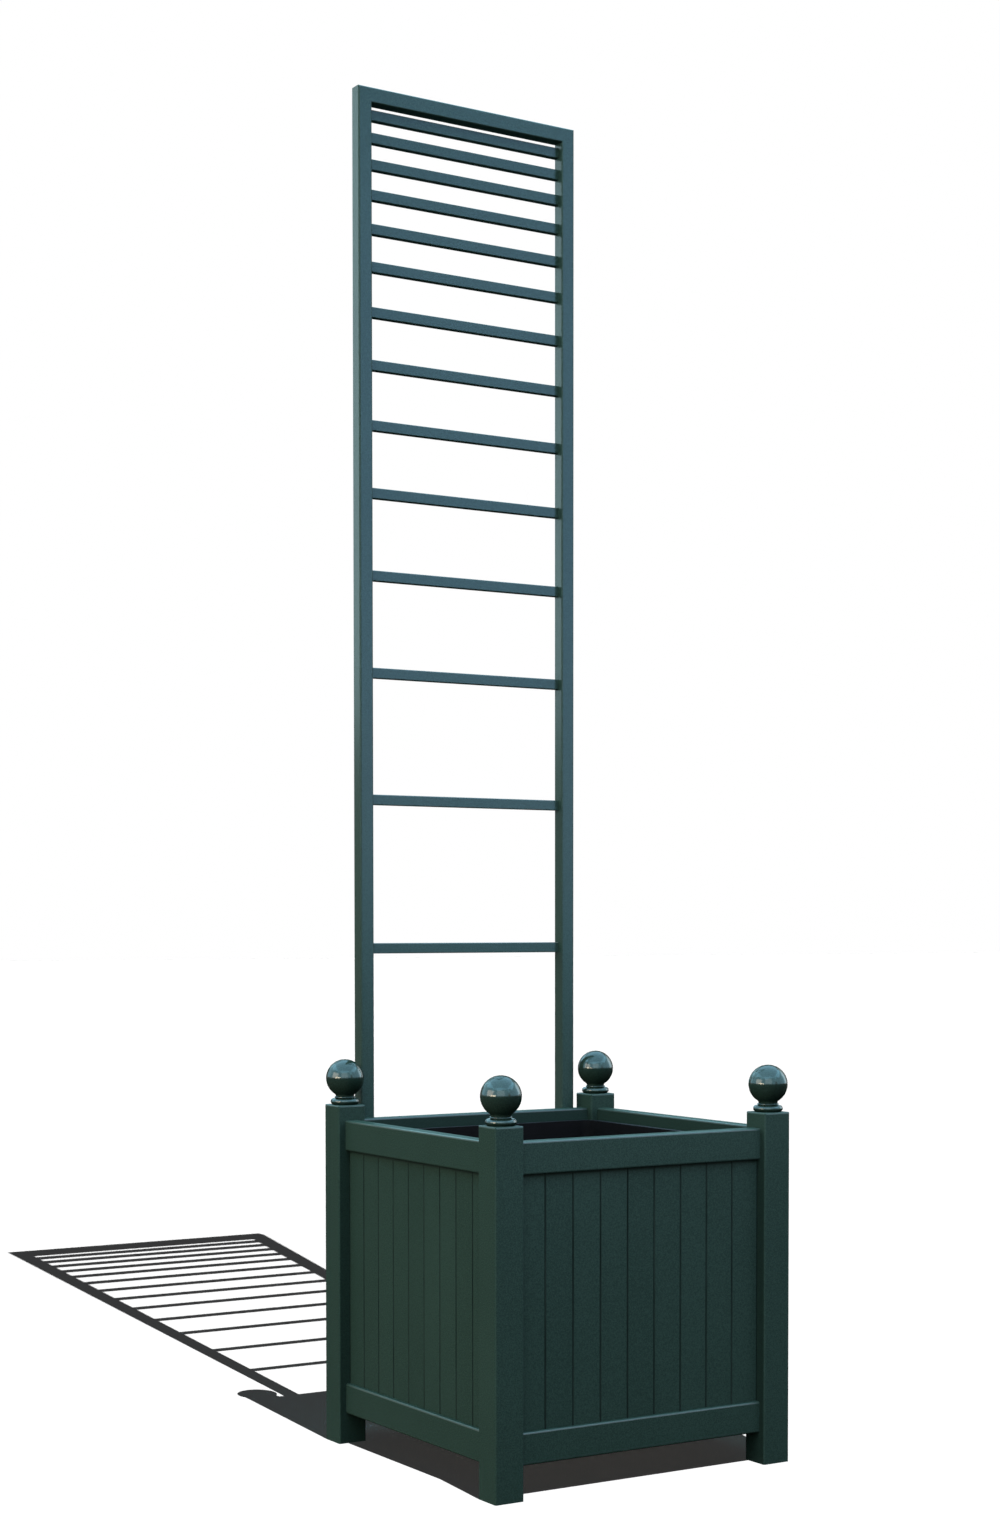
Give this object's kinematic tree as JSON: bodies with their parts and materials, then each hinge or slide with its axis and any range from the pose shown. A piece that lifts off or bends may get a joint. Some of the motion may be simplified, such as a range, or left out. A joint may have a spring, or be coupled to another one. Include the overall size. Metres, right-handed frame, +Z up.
{
  "type": "planter with trellis",
  "caption": "Square painted timber planter with ball finials, board-filled sides, a lift-out liner and a tall ladder trellis on its back.",
  "frame": {"origin": "on the ground, at the middle of the footprint of box and trellis together", "axes": "+X along the front to the right, +Y towards the trellis at the back, +Z up"},
  "size_m": [0.45, 0.455, 1.8],
  "materials": {
    "painted_timber": "smooth dark blue-green satin paint",
    "bare_timber": "planed, unpainted",
    "liner_plastic": "matt black, moulded",
    "screw_steel": "plain stainless steel"
  },
  "bodies": {
    "box_and_trellis": {"post_front_left": "painted_timber", "post_front_right": "painted_timber", "post_back_right": "painted_timber", "post_back_left": "painted_timber", "finial_front_left": "painted_timber", "finial_front_right": "painted_timber", "finial_back_right": "painted_timber", "finial_back_left": "painted_timber", "finial_dowels": "bare_timber", "top_rail_front": "painted_timber", "top_rail_right": "painted_timber", "top_rail_back": "painted_timber", "top_rail_left": "painted_timber", "bottom_rail_front": "painted_timber", "bottom_rail_right": "painted_timber", "bottom_rail_back": "painted_timber", "bottom_rail_left": "painted_timber", "boards_front": "painted_timber", "boards_right": "painted_timber", "boards_back": "painted_timber", "boards_left": "painted_timber", "bearer_left": "bare_timber", "bearer_right": "bare_timber", "bearer_screws": "screw_steel", "floor_slats": "bare_timber", "slat_screws": "screw_steel", "stile_left": "painted_timber", "stile_right": "painted_timber", "top_bar": "painted_timber", "mitre_keys": "bare_timber", "rung_1": "painted_timber", "rung_2": "painted_timber", "rung_3": "painted_timber", "rung_4": "painted_timber", "rung_5": "painted_timber", "rung_6": "painted_timber", "rung_7": "painted_timber", "rung_8": "painted_timber", "rung_9": "painted_timber", "rung_10": "painted_timber", "rung_11": "painted_timber", "rung_12": "painted_timber", "rung_13": "painted_timber", "rung_14": "painted_timber", "rung_screws": "screw_steel", "trellis_screws": "screw_steel"},
    "liner": {"liner": "liner_plastic"}
  },
  "joints": [
    {"name": "liner_lift", "type": "slide", "parent": "box_and_trellis", "child": "liner", "axis": [0, 0, 1], "range_m": [0, 0.36]}
  ]
}
